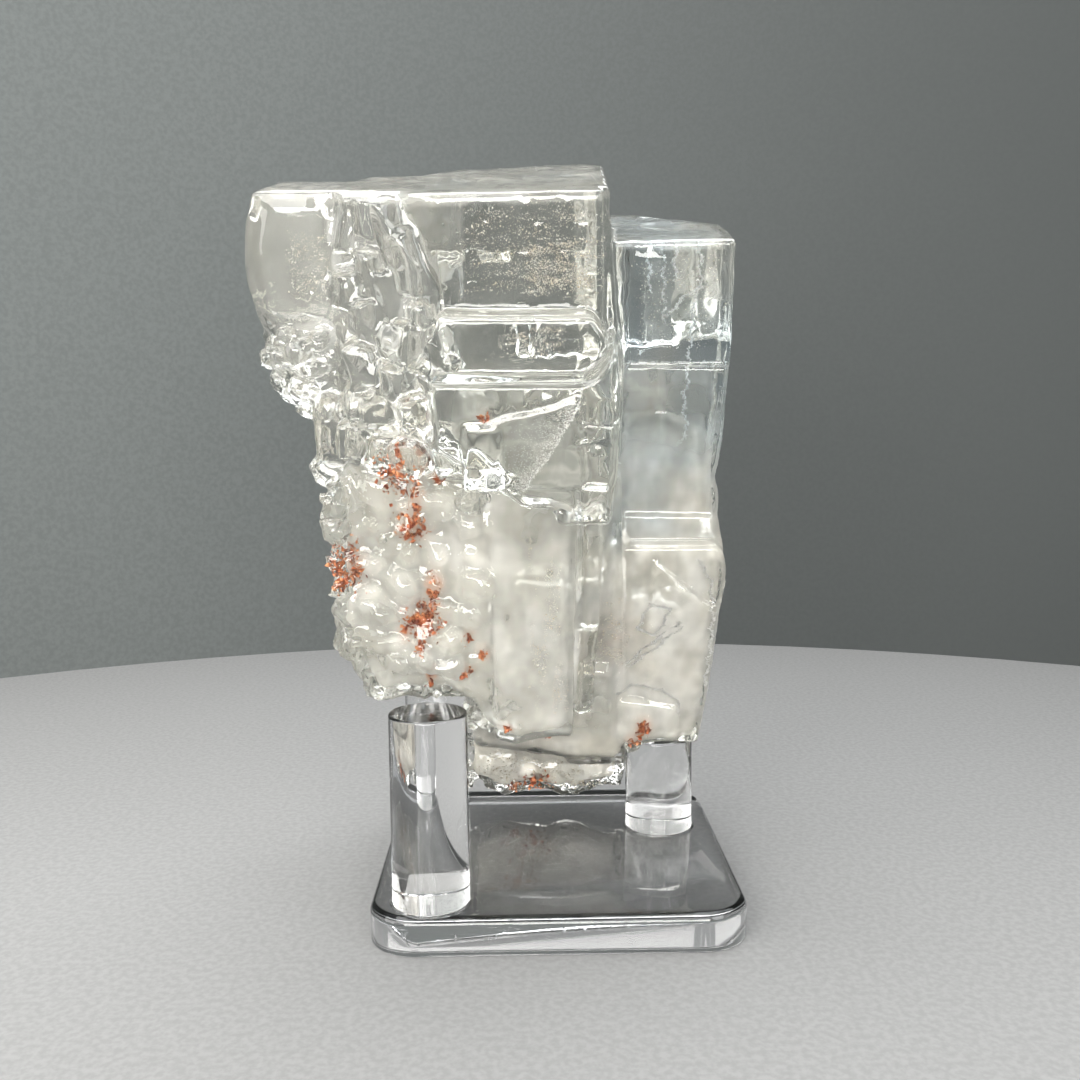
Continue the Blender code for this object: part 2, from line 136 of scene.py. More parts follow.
def cellDistance(points, seed):
    # distance to the nearest of the scattered points, one in every cell
    base = np.floor(points).astype(np.int64)
    near = np.full(len(points), 9.0)
    for x in (-1, 0, 1):
        for y in (-1, 0, 1):
            for z in (-1, 0, 1):
                cell = base + np.array([x, y, z])
                near = np.minimum(near, np.linalg.norm(cell + scatter(cell, seed) - points, axis=1))
    return near


def ramp(value, low, high):
    part = np.clip((value - low) / (high - low), 0, 1)
    return part * part * (3 - 2 * part)


def patch(q, u, w, soft=1.5):
    # 1 inside a lattice rectangle, falling to 0 outside it
    inU = ramp(q[:, 0], u[0] - soft, u[0] + soft) * (1 - ramp(q[:, 0], u[1] - soft, u[1] + soft))
    inW = ramp(q[:, 2], w[0] - soft, w[0] + soft) * (1 - ramp(q[:, 2], w[1] - soft, w[1] + soft))
    return inU * inW


def swayed(q, size, shift, seed):
    # three noises side by side, to push points about
    return np.stack([ripple(q / size + shift * axis, seed + axis) for axis in range(3)], 1)


def meshArrays(mesh):
    points = np.empty(len(mesh.vertices) * 3)
    mesh.vertices.foreach_get("co", points)
    edges = np.empty(len(mesh.edges) * 2, np.int64)
    mesh.edges.foreach_get("vertices", edges)
    normals = np.empty(len(mesh.vertices) * 3, np.float32)
    mesh.vertex_normals.foreach_get("vector", normals)
    return points.reshape(-1, 3), edges.reshape(-1, 2), normals.reshape(-1, 3).astype(float)


def setPoints(mesh, points):
    mesh.vertices.foreach_set("co", points.ravel())
    mesh.update()


def relaxed(points, edges, weight, rounds):
    # each point moves towards the middle of its neighbours, by its own weight
    count = np.bincount(edges.ravel(), minlength=len(points))[:, None]
    ends = np.concatenate([edges, edges[:, ::-1]])
    for _ in range(rounds):
        total = np.stack(
            [np.bincount(ends[:, 0], points[ends[:, 1], axis], len(points)) for axis in range(3)], 1)
        points = points + (total / count - points) * weight[:, None] * 0.5
    return points


def linked(name, mesh):
    obj = bpy.data.objects.new(name, mesh)
    bpy.context.scene.collection.objects.link(obj)
    return obj


def settled(obj):
    # the evaluated mesh with its modifiers applied
    graph = bpy.context.evaluated_depsgraph_get()
    made = bpy.data.meshes.new_from_object(obj.evaluated_get(graph))
    obj.modifiers.clear()
    obj.data = made
    return obj


def voxelled(obj, size):
    # the same solid as an even mesh of small squares
    even = obj.modifiers.new("voxels", "REMESH")
    even.mode = "VOXEL"
    even.voxel_size = size * mm
    return settled(obj)


def smoothShaded(obj):
    obj.data.polygons.foreach_set("use_smooth", [True] * len(obj.data.polygons))
    obj.data.update()


# ---- shader helpers
def newMaterial(name):
    made = bpy.data.materials.new(name)
    made.use_nodes = True
    nodes = made.node_tree.nodes
    nodes.clear()
    out = nodes.new("ShaderNodeOutputMaterial")
    shader = nodes.new("ShaderNodeBsdfPrincipled")
    made.node_tree.links.new(shader.outputs["BSDF"], out.inputs["Surface"])
    return made, made.node_tree, shader


def setInputs(node, **values):
    for key, value in values.items():
        node.inputs[key.replace("_", " ")].default_value = value


def newGroup(name, inputs, outputs):
    tree = bpy.data.node_groups.new(name, "ShaderNodeTree")
    for label, kind, value in inputs:
        socket = tree.interface.new_socket(label, in_out="INPUT", socket_type=kind)
        socket.default_value = value
    for label, kind in outputs:
        tree.interface.new_socket(label, in_out="OUTPUT", socket_type=kind)
    return tree, tree.nodes.new("NodeGroupInput"), tree.nodes.new("NodeGroupOutput")


def placed(tree, group, **values):
    node = tree.nodes.new("ShaderNodeGroup")
    node.node_tree = group
    for key, value in values.items():
        node.inputs[key.replace("_", " ")].default_value = value
    return node


def mathNode(tree, operation, first, second=None):
    node = tree.nodes.new("ShaderNodeMath")
    node.operation = operation
    for socket, value in zip(node.inputs, (first, second)):
        if value is None:
            continue
        if isinstance(value, (int, float)):
            socket.default_value = value
        else:
            tree.links.new(value, socket)
    return node.outputs[0]


def rangeNode(tree, value, low, high, newLow, newHigh):
    node = tree.nodes.new("ShaderNodeMapRange")
    node.interpolation_type = "SMOOTHSTEP"
    tree.links.new(value, node.inputs["Value"])
    setInputs(node, From_Min=low, From_Max=high, To_Min=newLow, To_Max=newHigh)
    return node.outputs["Result"]


def noiseNode(tree, vector, scale, detail):
    node = tree.nodes.new("ShaderNodeTexNoise")
    setInputs(node, Detail=detail, Roughness=0.55)
    tree.links.new(vector, node.inputs["Vector"])
    if isinstance(scale, (int, float)):
        node.inputs["Scale"].default_value = scale
    else:
        tree.links.new(scale, node.inputs["Scale"])
    return node.outputs["Fac"]


def colourMix(tree, factor, first, second):
    node = tree.nodes.new("ShaderNodeMix")
    node.data_type = "RGBA"
    sockets = {s.identifier: s for s in node.inputs}
    for key, value in (("Factor_Float", factor), ("A_Color", first), ("B_Color", second)):
        if isinstance(value, tuple):
            sockets[key].default_value = (*value, 1)
        elif isinstance(value, (int, float)):
            sockets[key].default_value = value
        else:
            tree.links.new(value, sockets[key])
    return [s for s in node.outputs if s.identifier == "Result_Color"][0]


def addBump(tree, shader, height, strength, distance):
    node = tree.nodes.new("ShaderNodeBump")
    setInputs(node, Strength=strength, Distance=distance)
    tree.links.new(height, node.inputs["Height"])
    tree.links.new(node.outputs["Normal"], shader.inputs["Normal"])


def tintDriftGroup():
    # a slow change between two colours, and its mask
    colour, number = "NodeSocketColor", "NodeSocketFloat"
    tree, source, sink = newGroup(
        "tintDrift",
        [("Light Tint", colour, (1, 1, 1, 1)), ("Deep Tint", colour, (0.8, 0.8, 0.8, 1)),
         ("Scale", number, 40.0), ("Low", number, 0.4), ("High", number, 0.65)],
        [("Color", colour), ("Mask", number)])
    place = tree.nodes.new("ShaderNodeTexCoord").outputs["Object"]
    noise = noiseNode(tree, place, source.outputs["Scale"], 2.0)
    node = tree.nodes.new("ShaderNodeMapRange")
    node.interpolation_type = "SMOOTHSTEP"
    tree.links.new(noise, node.inputs["Value"])
    tree.links.new(source.outputs["Low"], node.inputs["From Min"])
    tree.links.new(source.outputs["High"], node.inputs["From Max"])
    mixed = colourMix(tree, node.outputs["Result"], source.outputs["Light Tint"], source.outputs["Deep Tint"])
    tree.links.new(mixed, sink.inputs["Color"])
    tree.links.new(node.outputs["Result"], sink.inputs["Mask"])
    return tree


def surfaceDustGroup():
    # fine settled specks, as a mask and a height
    number = "NodeSocketFloat"
    tree, source, sink = newGroup(
        "surfaceDust",
        [("Scale", number, 900.0), ("Amount", number, 0.3)],
        [("Mask", number), ("Height", number)])
    place = tree.nodes.new("ShaderNodeTexCoord").outputs["Object"]
    cells = tree.nodes.new("ShaderNodeTexVoronoi")
    tree.links.new(place, cells.inputs["Vector"])
    tree.links.new(source.outputs["Scale"], cells.inputs["Scale"])
    speck = rangeNode(tree, cells.outputs["Distance"], 0.12, 0.3, 1.0, 0.0)
    patchy = rangeNode(tree, noiseNode(tree, place, 160.0, 1.0), 0.45, 0.72, 0.0, 1.0)
    mask = mathNode(tree, "MULTIPLY", mathNode(tree, "MULTIPLY", speck, patchy), source.outputs["Amount"])
    tree.links.new(mask, sink.inputs["Mask"])
    tree.links.new(mask, sink.inputs["Height"])
    return tree


def hairScratchGroup():
    # thin straight scratches in two directions
    number = "NodeSocketFloat"
    tree, source, sink = newGroup(
        "hairScratch",
        [("Scale", number, 60.0), ("Amount", number, 0.3), ("Stretch", number, 30.0)],
        [("Mask", number), ("Height", number)])
    place = tree.nodes.new("ShaderNodeTexCoord").outputs["Object"]
    lines = None
    for turn in (0.5, 2.2):
        spin = tree.nodes.new("ShaderNodeMapping")
        spin.inputs["Rotation"].default_value = (0.3, 0.2, turn)
        tree.links.new(place, spin.inputs["Vector"])
        thin = tree.nodes.new("ShaderNodeCombineXYZ")
        parts = tree.nodes.new("ShaderNodeSeparateXYZ")
        tree.links.new(spin.outputs["Vector"], parts.inputs["Vector"])
        tree.links.new(parts.outputs["X"], thin.inputs["X"])
        drawn = mathNode(tree, "MULTIPLY", parts.outputs["Y"], source.outputs["Stretch"])
        tree.links.new(drawn, thin.inputs["Y"])
        tree.links.new(parts.outputs["Z"], thin.inputs["Z"])
        streak = noiseNode(tree, thin.outputs["Vector"], source.outputs["Scale"], 1.0)
        line = rangeNode(tree, streak, 0.66, 0.74, 0.0, 1.0)
        lines = line if lines is None else mathNode(tree, "MAXIMUM", lines, line)
    mask = mathNode(tree, "MULTIPLY", lines, source.outputs["Amount"])
    tree.links.new(mask, sink.inputs["Mask"])
    tree.links.new(mask, sink.inputs["Height"])
    return tree


def frostPatchGroup():
    # lightly frosted patches on a clear face
    number = "NodeSocketFloat"
    tree, source, sink = newGroup(
        "frostPatch",
        [("Scale", number, 120.0), ("Amount", number, 0.4)],
        [("Mask", number)])
    place = tree.nodes.new("ShaderNodeTexCoord").outputs["Object"]
    patchy = rangeNode(tree, noiseNode(tree, place, source.outputs["Scale"], 1.0), 0.42, 0.66, 0.0, 1.0)
    tree.links.new(mathNode(tree, "MULTIPLY", patchy, source.outputs["Amount"]), sink.inputs["Mask"])
    return tree


tintDrift = tintDriftGroup()
surfaceDust = surfaceDustGroup()
hairScratch = hairScratchGroup()
frostPatch = frostPatchGroup()
print("shader groups ready")


# ---- crystal glass
crystalLook = {
    "lightTint": (0.965, 0.955, 0.915),
    "deepTint": (0.94, 0.925, 0.87),
    "coolTint": (0.78, 0.90, 0.99),
    "frostScale": 110.0,
    "frostAmount": 0.5,
    "frostFrom": 0.3,           # roughness starts at this much frost
    "frostRoughness": 0.07,
    "transmission": 1.0,
    "ior": 1.54,
    "absorbColour": (0.93, 0.95, 0.90, 1),
    "absorbDensity": 8.0,
}


def crystalMaterial():
    made, tree, shader = newMaterial("clearCrystal")
    most = crystalLook["frostAmount"]
    frost = placed(tree, frostPatch, Scale=crystalLook["frostScale"], Amount=most).outputs["Mask"]
    tint = colourMix(tree, rangeNode(tree, frost, 0.0, most, 0.0, 1.0),
                     crystalLook["lightTint"], crystalLook["deepTint"])
    cool = tree.nodes.new("ShaderNodeAttribute")
    cool.attribute_name = "cool"
    toned = colourMix(tree, cool.outputs["Fac"], tint, crystalLook["coolTint"])
    tree.links.new(toned, shader.inputs["Base Color"])
    # polished faces have no roughness at all, frosted patches a little
    rough = rangeNode(tree, frost, crystalLook["frostFrom"], most, 0.0, crystalLook["frostRoughness"])
    tree.links.new(rough, shader.inputs["Roughness"])
    setInputs(shader, Metallic=0.0, Transmission_Weight=crystalLook["transmission"], IOR=crystalLook["ior"])
    soak = tree.nodes.new("ShaderNodeVolumeAbsorption")
    setInputs(soak, Color=crystalLook["absorbColour"], Density=crystalLook["absorbDensity"])
    tree.links.new(soak.outputs["Volume"], tree.nodes["Material Output"].inputs["Volume"])
    return made


crystalGlass = crystalMaterial()


# ---- the crystal body
bodyShape = {
    "voxel": 0.42,
    "mostFaces": 190000,
    "boxMargin": 0.8,           # how far the relief may pass the CAD box
    "warp": 2.2,                # sideways sway of the etched cells, and its size
    "warpSize": 5.0,
    "sway": 4.0,                # the same for the lobes
    "swaySize": 11.0,
    "etch": 0.75,
    "etchSize": (3.6, 4.0, 4.6),
    "fineEtch": 0.24,
    "fineEtchSize": 1.45,
    "lobe": 1.15,
    "lobeSize": (5.6, 6.5, 10.5),
    "rearSwell": 0.45,
    "block": 1.1,
    "blockSize": (2.6, 3.0, 3.0),
    "crumb": 0.34,
    "crumbSize": 1.25,
    "swell": 0.16,              # slow swell of every face, and its size
    "swellSize": 9.0,
    "shiver": 0.05,
    "shiverSize": 2.6,
    "calmSwell": 0.20,
    "calmSwellSize": 6.5,
    "stripe": 0.045,            # upright hair lines
    "stripeSize": (0.85, 0.85, 30.0),
    "step": 0.07,               # level growth steps
    "stepTall": 3.7,
    # single knobs and pits on the show side: u, w, half width, half height, rise
    "marks": (
        (-14.1, 45.5, 1.3, 1.9, -0.9), (-16.6, 44.2, 1.0, 1.2, 0.9), (-15.2, 41.6, 1.2, 1.1, 0.8),
        (-11.9, 39.2, 0.9, 1.3, -0.5), (-11.9, 39.2, 0.45, 0.7, 0.5), (-27.8, 47.6, 1.5, 2.4, 0.7),
        (-24.9, 45.9, 1.1, 1.5, 0.8), (-25.3, 39.4, 1.3, 1.0, -0.7), (-22.6, 40.0, 1.6, 2.4, 0.5),
        (-33.1, 46.6, 0.35, 0.5, -0.4), (6.6, 26.4, 1.8, 0.9, -0.5), (7.9, 26.0, 0.7, 0.6, 0.4),
        (18.4, 24.6, 3.6, 5.4, -1.0), (2.6, 15.4, 1.0, 2.2, 0.5),
        (0.6, -4.0, 2.6, 9.0, 0.35), (-4.6, 3.5, 2.2, 6.0, -0.3), (-12.0, -14.0, 2.6, 7.0, 0.4),
        (21.0, -16.0, 3.2, 1.2, -0.4), (24.0, -8.6, 3.4, 1.4, 0.45),
    ),
    # thin lines cut into the front: u and w of both ends, half width, depth
    "cuts": (
        (13.2, 30.8, 29.2, 30.7, 0.35, 0.35), (-29.9, 32.1, -25.4, 32.1, 0.3, 0.4),
        (-27.9, 27.8, -18.1, 27.7, 0.4, 0.5), (-25.8, 58.2, -26.5, 50.9, 0.35, 0.6),
        (-34.9, 42.7, -30.6, 40.7, 0.35, 0.3), (-37.0, 40.9, -31.5, 39.6, 0.3, 0.3),
        (5.9, 29.6, 11.0, 29.4, 0.3, 0.3), (-0.6, 58.5, -0.9, 38.0, 0.18, 0.12),
        (-10.4, 58.4, -10.6, 45.0, 0.2, 0.14), (4.9, 58.6, 4.7, 47.0, 0.18, 0.12),
        (16.9, -1.6, 27.8, -10.6, 0.4, 0.3), (5.6, 10.0, 5.4, -20.0, 0.3, 0.3),
        (-9.3, 16.5, -9.1, -26.0, 0.35, 0.4), (-9.0, 16.8, 4.6, 17.2, 0.35, 0.3),
        (-7.6, -22.0, 1.5, -14.0, 0.3, 0.2), (1.5, -14.0, 3.9, 6.0, 0.3, 0.2),
    ),
}


# rust clusters: u, w, width, height, how strong
rustClusters = (
    (-22.0, 19.6, 4.6, 5.2, 1.0), (-21.0, 23.4, 1.0, 2.8, 0.7), (-19.5, 14.4, 1.1, 4.9, 0.8),
    (-20.6, 10.6, 3.6, 3.8, 1.2), (-31.6, 4.0, 4.4, 6.2, 0.8), (-31.9, 1.7, 2.1, 1.0, 1.4),
    (-18.1, -0.8, 1.8, 5.2, 0.9), (-19.9, -5.7, 4.2, 4.6, 1.2), (-22.8, -8.2, 1.7, 1.6, 0.9),
    (-20.4, -10.0, 1.2, 1.8, 0.7), (-12.9, -8.8, 1.3, 1.4, 0.8), (-10.8, -12.1, 1.0, 1.7, 0.8),
    (-13.8, -15.3, 1.6, 1.2, 0.9), (-19.7, -16.9, 0.9, 2.8, 1.1), (-7.0, -26.2, 0.9, 0.7, 0.9),
    (0.5, -28.3, 2.6, 1.0, 1.3), (-16.2, 17.8, 1.1, 0.9, 1.3), (-7.6, 30.6, 0.9, 1.0, 1.0),
    (-8.5, -56.3, 1.9, 1.9, 0.6), (-4.1, -54.6, 4.5, 3.6, 0.5), (16.4, -36.1, 1.8, 2.6, 1.0),
    (14.9, -38.6, 1.8, 1.8, 0.8),
)
paleStains = ((10.4, -17.0, 7.5, 11.0, 0.22), (-5.5, -55.0, 6.0, 4.5, 0.5), (-21.0, 17.0, 7.0, 9.0, 0.18))


def frontMarks(q, away):
    # knobs, pits and cut lines act only on faces that look to the show side
    rise = np.zeros(len(q))
    for u, w, wide, tall, height in bodyShape["marks"]:
        reach = ((q[:, 0] - u) / wide) ** 2 + ((q[:, 2] - w) / tall) ** 2
        rise += height * np.exp(-reach * 1.1)
    spot = q[:, [0, 2]]
    for u0, w0, u1, w1, wide, depth in bodyShape["cuts"]:
        start, run = np.array([u0, w0]), np.array([u1 - u0, w1 - w0])
        along = np.clip((spot - start) @ run / (run @ run), 0, 1)
        gap = np.linalg.norm(spot - start - along[:, None] * run, axis=1)
        rise -= depth * np.exp(-(gap / wide) ** 2)
    return rise * ramp(-away[:, 1], 0.3, 0.7) * ramp(-q[:, 1], -8, 0)


def lobeMask(q):
    # the column of large smooth lobes
    return patch(q, (-30, -15.5), (19, 60), 1.6)


def etchMask(q):
    lowLeft = patch(q, (-38, -10.5), (-32, 21), 2.5)
    crumbs = patch(q, (-44, -30), (26, 41), 2.0) * 0.9
    foot = ramp(-q[:, 2], 38, 50) * 0.5
    return np.maximum.reduce([lowLeft, crumbs, foot])


def crumbMask(q):
    left = patch(q, (-44, -30), (26, 40), 1.5)
    foot = ramp(-q[:, 2], 44, 54)
    low = patch(q, (-36, -12), (-30, 8), 3) * 0.35
    return np.maximum.reduce([left, foot * 0.9, low])


milkiness = {
    # u, w, amount, softness of the border
    "zones": (
        ((-9.5, 5), (-30, 17.5), 0.42, 0.8), ((-17, -8), (-30, 13), 0.46, 3.0),
        ((-38, -13), (-34, 19), 0.37, 3.0), ((-46, -28), (26, 62), 0.14, 3.0),
        ((-30, -15), (18, 60), 0.08, 3.0), ((5, 12), (-50, 16), 0.42, 2.5),
        ((9, 33), (-50, 1), 0.58, 3.0), ((10, 33), (-4, 17), 0.54, 5.0),
        ((-20, 16), (-66, -38), 1.0, 5.0),
    ),
    "sway": 1.6,
    "swaySize": 6.0,
    "rear": 0.30,               # on the far side
    "rearClear": 0.26,          # less there behind the clear window
    "rearLow": 0.40,            # more there in the low left corner
    "drift": 0.55,
    "topFilm": 0.26,            # thin frost on the level tops
}


def hazeMask(q):
    # how milky the crystal is, from clear at 0 to white at 1
    loose = q + milkiness["sway"] * swayed(q, milkiness["swaySize"], 3.7, 25)
    haze = np.zeros(len(q))
    for u, w, amount, soft in milkiness["zones"]:
        haze = np.maximum(haze, amount * patch(loose, u, w, soft))
    clearWindow = patch(q, (-15, 31), (27, 60), 3.0) * milkiness["rearClear"]
    lowLeft = patch(q, (-40, -10), (-34, 18), 3.0) * milkiness["rearLow"]
    haze = np.maximum(haze, ramp(q[:, 1], 6, 14) * (milkiness["rear"] - clearWindow + lowLeft))
    drift = layered(q / 7.0, 21) + 0.5 * ripple(q / 1.9, 24)
    return np.clip(haze * (1.0 + milkiness["drift"] * drift), 0.0, 1.0)


def calmMask(q):
    # the smooth, slightly melted faces
    left = patch(q, (-46, -29), (40, 62), 2)
    middle = patch(q, (-16, -9), (-29, 10), 1.5)
    return np.maximum(left, middle)


def stainMask(q):
    # soft iron stains around the rust flecks
    stain = np.zeros(len(q))
    for u, w, wide, tall, strong in rustClusters + paleStains:
        reach = ((q[:, 0] - u) / (0.55 * wide + 0.5)) ** 2 + ((q[:, 2] - w) / (0.55 * tall + 0.5)) ** 2
        stain = np.maximum(stain, strong * np.exp(-reach) * ramp(-q[:, 1], -4, 4))
    return np.clip(stain * (0.8 + 0.9 * ripple(q / 1.7, 28)), 0, 1)


def storeHaze(mesh):
    # milkiness, iron stain and cool tint of each point, which the materials read
    points, edges, normals = meshArrays(mesh)
    q = toLattice(points)
    away = normals @ latticeTurn
    film = milkiness["topFilm"] * ramp(away[:, 2], 0.6, 0.9) * ramp(q[:, 2], 38, 46)
    stain = stainMask(q) * ramp(-away[:, 1], 0.0, 0.5)
    cool = patch(q, (10, 34), (2, 52), 3.0) * ramp(layered(q / 12.0, 71), -0.6, 0.5)
    for label, values in (("haze", np.maximum(hazeMask(q), film)), ("stain", stain), ("cool", cool)):
        layer = mesh.attributes.new(label, "FLOAT", "POINT")
        layer.data.foreach_set("value", values.astype(np.float32))


def etchedRise(q, etch, crumb):
    # hollow scallops that meet in sharp ridges, small square-stepped blocks, and crumbs
    shape = bodyShape
    warp = swayed(q, shape["warpSize"], 9.1, 30) * shape["warp"]
    near = cellDistance((q + warp) / np.array(shape["etchSize"]), 4)
    rise = etch * shape["etch"] * (near ** 2 * 1.9 - 0.55)
    cell = np.floor((q + warp * 0.45) / np.array(shape["blockSize"])).astype(np.int64)
    rise += etch * (1 - crumb) * shape["block"] * (scatter(cell, 12)[:, 0] - 0.6)
    near = cellDistance((q + warp * 0.5) / shape["fineEtchSize"], 5)
    rise += etch * shape["fineEtch"] * (near ** 2 * 1.9 - 0.5)
    near = cellDistance(q / shape["crumbSize"], 6)
    return rise + crumb * shape["crumb"] * (0.55 - near) * 1.6


def lobedRise(q, away, lobe):
    # large smooth lobes down the column, and shallow ones on the far side
    shape = bodyShape
    sway = swayed(q, shape["swaySize"], 5.3, 36) * shape["sway"]
    near = cellDistance((q + sway) / np.array(shape["lobeSize"]), 3)
    lobe = lobe * (1 - ramp(away[:, 2], 0.35, 0.7)) * ramp(-q[:, 1], -8, 2)
    rear = ramp(q[:, 1], 2, 10) * (1 - 0.8 * patch(q, (-50, 31), (22, 64), 3.0))
    return (lobe * shape["lobe"] + rear * shape["rearSwell"]) * (near ** 2 * 2.0 - 0.6)


def faceRise(q, away, calm, smooth):
    # slow swell everywhere, then hair lines and growth steps on the flat faces
    shape = bodyShape
    rise = shape["swell"] * layered(q / shape["swellSize"], 7)
    rise += shape["shiver"] * ripple(q / shape["shiverSize"], 8)
    rise += calm * shape["calmSwell"] * layered(q / shape["calmSwellSize"], 9, 2)
    flat = smooth * ramp(np.abs(away).max(axis=1), 0.9, 0.98)
    tilt = np.abs(away[:, 2])
    upright = ripple(q / np.array(shape["stripeSize"]), 10)
    rise += flat * shape["stripe"] * upright * (1 - ramp(tilt, 0.6, 0.9))
    level = (q[:, 2] + 1.2 * ripple(q / np.array([14, 14, 6.0]), 11)) / shape["stepTall"]
    rise += flat * shape["step"] * (level - np.floor(level) - 0.5) * (1 - ramp(tilt, 0.5, 0.9))
    return rise


def buildBody():
    obj = linked("crystalBody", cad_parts["crystal"].data.copy())
    voxelled(obj, bodyShape["voxel"])
    points, edges, normals = meshArrays(obj.data)
    print("body voxels", len(points))
    q = toLattice(points)
    etch, lobe, calm, crumb = etchMask(q), lobeMask(q), calmMask(q), crumbMask(q)
    points = relaxed(points, edges, 0.10 + 0.75 * np.maximum.reduce([etch, lobe, calm]), 3)
    points = relaxed(points, edges, np.maximum.reduce([etch * 0.7, lobe, calm]), 10)
    setPoints(obj.data, points)
    points, edges, normals = meshArrays(obj.data)
    q = toLattice(points)
    away = normals @ latticeTurn          # normals in lattice directions
    rise = etchedRise(q, etch, crumb) + lobedRise(q, away, lobe * (1 - etch))
    rise += faceRise(q, away, calm, 1 - np.maximum(etch, lobe)) + frontMarks(q, away)
    points = points + normals * rise[:, None] * mm
    margin = bodyShape["boxMargin"] * mm
    setPoints(obj.data, np.clip(points, np.array(cadBox[0]) - margin, np.array(cadBox[1]) + margin))
    tris = sum(len(p.vertices) - 2 for p in obj.data.polygons)
    if tris > bodyShape["mostFaces"]:
        thin = obj.modifiers.new("thin", "DECIMATE")
        thin.ratio = bodyShape["mostFaces"] / tris
        settled(obj)
    smoothShaded(obj)
    storeHaze(obj.data)
    obj.data.materials.clear()
    obj.data.materials.append(crystalGlass)
    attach(obj, "root")
    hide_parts("crystal")
    print("crystal body", len(obj.data.polygons), "faces")
    return obj


crystalBody = buildBody()


# ---- milky heart just under the skin
heartShape = {
    "voxel": 0.95,
    "inset": 1.0,
    "deeper": 1.0,              # more inset under the etched faces
    "unevenness": 0.5,
}
heartLook = {
    "light": (0.985, 0.97, 0.925),
    "warm": (0.93, 0.895, 0.81),
    "stain": (0.74, 0.38, 0.24),
    "stainAlpha": 0.35,
    "cloudScale": 170.0,
    "cloudStretch": (1.0, 1.0, 0.6),
    "density": (0.75, 1.25),    # share of the stored haze in thin and thick clouds
    "roughness": (0.75, 0.5),
}


def heartMaterial():
    made, tree, shader = newMaterial("milkyHeart")
    haze = tree.nodes.new("ShaderNodeAttribute")
    haze.attribute_name = "haze"
    place = tree.nodes.new("ShaderNodeTexCoord").outputs["Object"]
    long = tree.nodes.new("ShaderNodeMapping")
    long.inputs["Rotation"].default_value = (-latticeLean, 0, 0)
    long.inputs["Scale"].default_value = heartLook["cloudStretch"]
    tree.links.new(place, long.inputs["Vector"])
    cloud = noiseNode(tree, long.outputs["Vector"], heartLook["cloudScale"], 2.0)
    warm = rangeNode(tree, cloud, 0.35, 0.65, 1.0, 0.0)
    milk = colourMix(tree, warm, heartLook["light"], heartLook["warm"])
    stain = tree.nodes.new("ShaderNodeAttribute")
    stain.attribute_name = "stain"
    toned = colourMix(tree, stain.outputs["Fac"], milk, heartLook["stain"])
    tree.links.new(toned, shader.inputs["Base Color"])
    density = rangeNode(tree, cloud, 0.3, 0.7, *heartLook["density"])
    alpha = mathNode(tree, "MULTIPLY", haze.outputs["Fac"], density)
    rusty = mathNode(tree, "MULTIPLY", stain.outputs["Fac"], heartLook["stainAlpha"])
    alpha = mathNode(tree, "MINIMUM", mathNode(tree, "ADD", alpha, rusty), 1.0)
    tree.links.new(alpha, shader.inputs["Alpha"])
    tree.links.new(rangeNode(tree, cloud, 0.3, 0.7, *heartLook["roughness"]), shader.inputs["Roughness"])
    setInputs(shader, Metallic=0.0, Specular_IOR_Level=0.1)
    return made


def buildHeart():
    obj = linked("milkyHeart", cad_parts["crystal"].data.copy())
    voxelled(obj, heartShape["voxel"])
    points, edges, normals = meshArrays(obj.data)
    setPoints(obj.data, relaxed(points, edges, np.ones(len(points)), 8))
    points, edges, normals = meshArrays(obj.data)
    q = toLattice(points)
    uneven = 1 + heartShape["unevenness"] * np.clip(layered(q / 6.0, 41), -0.35, 1.0)
    sink = (heartShape["inset"] + heartShape["deeper"] * etchMask(q)) * uneven
    setPoints(obj.data, points - normals * sink[:, None] * mm)
    voxelled(obj, heartShape["voxel"])          # clears what the inset folded over
    points, edges, normals = meshArrays(obj.data)
    setPoints(obj.data, relaxed(points, edges, np.ones(len(points)), 3))
    smoothShaded(obj)
    storeHaze(obj.data)
    obj.data.materials.clear()
    obj.data.materials.append(heartMaterial())
    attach(obj, "root")
    print("milky heart", len(obj.data.polygons), "faces")


buildHeart()


# ---- what the crystal holds inside, found by casting rays onto its skin
skin = BVHTree.FromPolygons([tuple(v.co) for v in crystalBody.data.vertices],
                            [tuple(p.vertices) for p in crystalBody.data.polygons])
inward = Vector(latticeTurn[:, 1])


def frontDepth(u, w):
    # lattice v of the skin on the show side at that u and w
    start = Vector(toWorld([u, -70.0, w]))
    hit = skin.ray_cast(start, inward)
    if hit[0] is None:
        return None
    return float(toLattice(np.array(hit[0]))[1])


